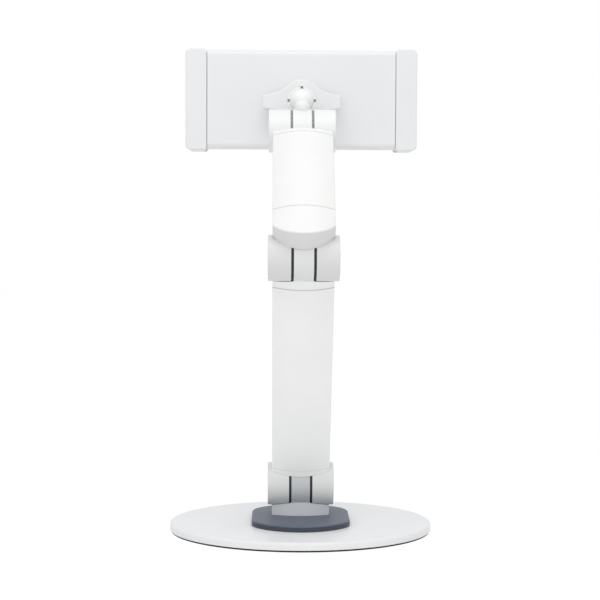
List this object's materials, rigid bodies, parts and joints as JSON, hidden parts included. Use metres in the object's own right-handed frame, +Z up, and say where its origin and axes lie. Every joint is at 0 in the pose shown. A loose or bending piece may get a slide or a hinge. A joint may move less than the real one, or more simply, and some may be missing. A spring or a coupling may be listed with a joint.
{
  "type": "tablet desk stand",
  "caption": "Folding desk stand for a tablet: oval weighted base, two flat arms on friction hinges, ball joint with wing nut, sprung holder with jaws that open together.",
  "frame": {"origin": "middle of the base's underside, on the table", "axes": "+Z up; +X along the hinge axes, to the right seen from the holder's back; +Y towards the user, the way the tablet's screen faces"},
  "size_m": [0.2, 0.1866, 0.3717],
  "materials": {
    "base_paint": "satin white paint on a steel plate",
    "sole_rubber": "matt",
    "pad_rubber": "smooth grey-blue",
    "foot_metal": "satin white coat on cast aluminium",
    "cap_paint": "satin white coat on cast aluminium",
    "washer_grey": "dark friction washer",
    "fastener_steel": "zinc plated",
    "cover_plastic": "satin white",
    "ball_metal": "smooth white coat on a steel ball",
    "seat_plastic": "self-lubricating plastic",
    "holder_plastic": "satin white",
    "nut_plastic": "semi-gloss white",
    "gear_plastic": "natural acetal",
    "soft_pad": "matt silicone"
  },
  "bodies": {
    "base": {"base_plate": "base_paint", "rubber_sole": "sole_rubber", "base_pad": "pad_rubber", "foot_block": "foot_metal", "foot_screws": "fastener_steel"},
    "lower_arm": {"lower_fork_cap": "cap_paint", "lower_arm_tube": "cap_paint", "lower_tongue_cap": "cap_paint", "lower_set_screws": "fastener_steel", "base_hinge_bolt": "fastener_steel", "base_hinge_nut": "fastener_steel", "base_hinge_disc_springs": "fastener_steel", "base_hinge_friction_washers": "washer_grey", "base_hinge_covers": "cover_plastic"},
    "upper_arm": {"upper_nose_cap": "cap_paint", "upper_arm_tube": "cap_paint", "upper_fork_cap": "cap_paint", "upper_set_screws": "fastener_steel", "elbow_bolt": "fastener_steel", "elbow_nut": "fastener_steel", "elbow_disc_springs": "fastener_steel", "elbow_friction_washers": "washer_grey", "elbow_covers": "cover_plastic", "wrist_bolt": "fastener_steel", "wrist_nut": "fastener_steel", "wrist_disc_springs": "fastener_steel", "wrist_friction_washers": "washer_grey", "wrist_covers": "cover_plastic"},
    "knuckle": {"wrist_knuckle": "cap_paint"},
    "stud": {"ball_stud": "ball_metal"},
    "seat": {"ball_seat": "seat_plastic"},
    "holder": {"holder_back": "holder_plastic", "holder_front": "holder_plastic", "holder_face_pad": "soft_pad", "cover_screws": "fastener_steel", "flange_screws": "fastener_steel", "ball_socket": "nut_plastic", "seat_plug": "seat_plastic", "pinion_axle": "fastener_steel", "right_spring": "fastener_steel", "left_spring": "fastener_steel"},
    "wing_nut": {"wing_nut": "nut_plastic"},
    "pinion": {"pinion": "gear_plastic"},
    "right_jaw": {"right_jaw": "holder_plastic", "right_jaw_pad": "soft_pad", "right_rack": "gear_plastic", "right_jaw_screws": "fastener_steel"},
    "left_jaw": {"left_jaw": "holder_plastic", "left_jaw_pad": "soft_pad", "left_rack": "gear_plastic", "left_jaw_screws": "fastener_steel"}
  },
  "joints": [
    {"name": "base_hinge", "type": "hinge", "parent": "base", "child": "lower_arm", "pos_m": [0, 0.005, 0.035], "axis": [1, 0, 0], "range_deg": [-80, 60]},
    {"name": "elbow_hinge", "type": "hinge", "parent": "lower_arm", "child": "upper_arm", "pos_m": [0, -0.08268, 0.21085], "axis": [-1, 0, 0], "range_deg": [-66, 85]},
    {"name": "wrist_hinge", "type": "hinge", "parent": "upper_arm", "child": "knuckle", "pos_m": [0, -0.00362, 0.30508], "axis": [1, 0, 0], "range_deg": [-110, 55]},
    {"name": "ball_spin", "type": "hinge", "parent": "knuckle", "child": "stud", "pos_m": [0, 0.01821, 0.32987], "axis": [0, 0.9659, 0.2588], "continuous": true},
    {"name": "ball_tilt", "type": "hinge", "parent": "stud", "child": "seat", "pos_m": [0, 0.01821, 0.32987], "axis": [1, 0, 0], "range_deg": [-33, 62]},
    {"name": "ball_roll", "type": "hinge", "parent": "seat", "child": "holder", "pos_m": [0, 0.01821, 0.32987], "axis": [0, 1, 0], "continuous": true},
    {"name": "nut_turn", "type": "hinge", "parent": "holder", "child": "wing_nut", "pos_m": [0, 0.01821, 0.32987], "axis": [0, -1, 0], "range_deg": [-90, 180]},
    {"name": "jaw_slide", "type": "slide", "parent": "holder", "child": "right_jaw", "axis": [1, 0, 0], "range_m": [0, 0.038], "stiffness_N_per_m": 150, "springref_m": -0.02, "deforming": ["right_spring"]},
    {"name": "left_jaw_slide", "type": "slide", "parent": "holder", "child": "left_jaw", "axis": [-1, 0, 0], "range_m": [0, 0.038], "deforming": ["left_spring"]},
    {"name": "pinion_turn", "type": "hinge", "parent": "holder", "child": "pinion", "pos_m": [0, 0.03761, 0.33217], "axis": [0, 1, 0], "range_deg": [0, 363.4]}
  ],
  "couplings": [
    {"joint": "left_jaw_slide", "follows": "jaw_slide", "ratio": 1},
    {"joint": "pinion_turn", "follows": "jaw_slide", "rad_per_m": 166.67}
  ]
}
